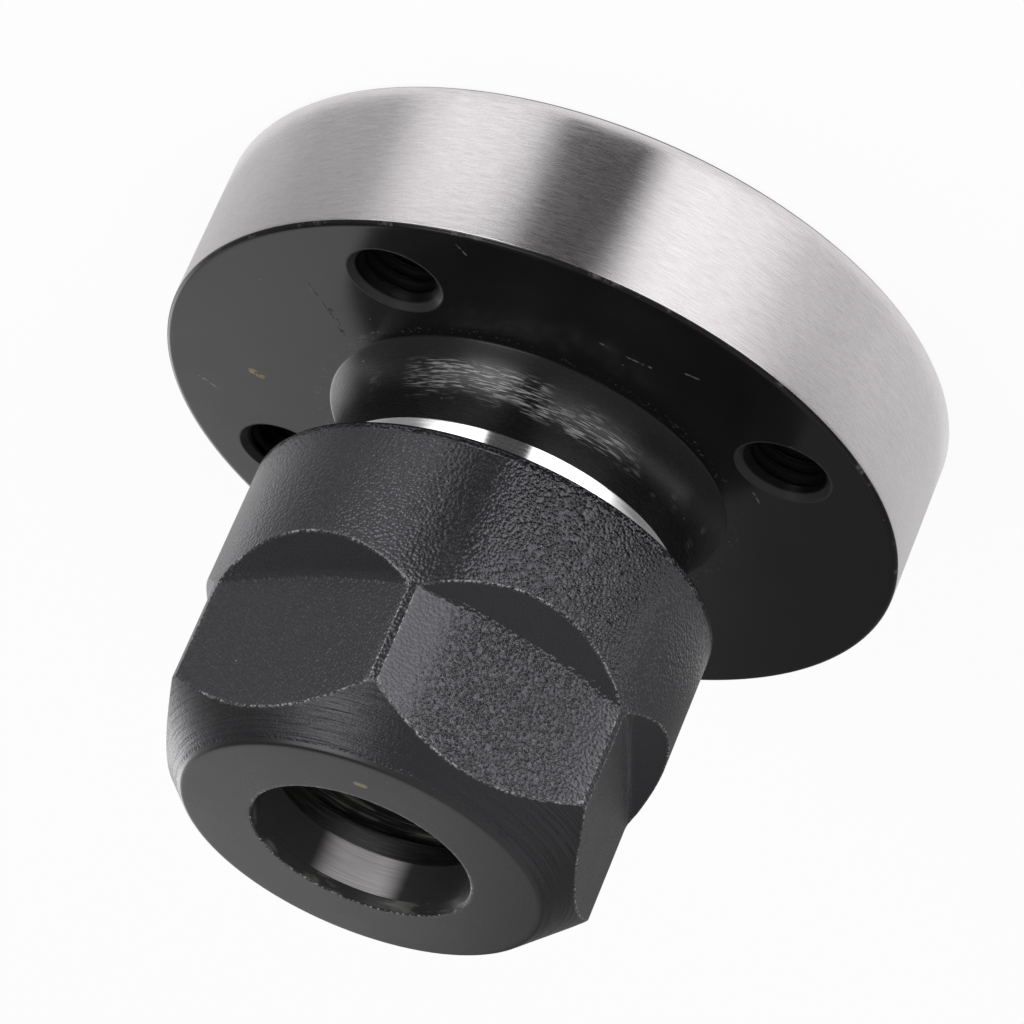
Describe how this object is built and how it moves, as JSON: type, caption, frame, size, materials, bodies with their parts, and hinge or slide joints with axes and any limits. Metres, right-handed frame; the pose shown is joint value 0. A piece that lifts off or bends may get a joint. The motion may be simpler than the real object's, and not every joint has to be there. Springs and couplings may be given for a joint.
{
  "type": "flange collet holder",
  "caption": "Collet chuck with a round bolt-on flange, a short neck, a tapered collet socket and a hexagon clamping nut.",
  "frame": {"origin": "centre of the flange's back face, on the spindle axis", "axes": "+Z along the spindle axis from the flange's back face to the nut's front face; +X halfway between two of the four tapped holes"},
  "size_m": [0.045, 0.045, 0.0368],
  "materials": {
    "body_steel": "black oxide, satin, with the flange's rim and the neck's collar ground bright",
    "nut_steel": "black oxide over a fine pebbled surface, with a bright ground mouth"
  },
  "bodies": {
    "chuck": {"chuck_body": "body_steel"},
    "nut": {"clamping_nut": "nut_steel"}
  },
  "joints": [
    {"name": "nut_turn", "type": "hinge", "parent": "chuck", "child": "nut", "pos_m": [0, 0, 0.027], "axis": [0, 0, 1], "range_deg": [-144, 2400]}
  ]
}
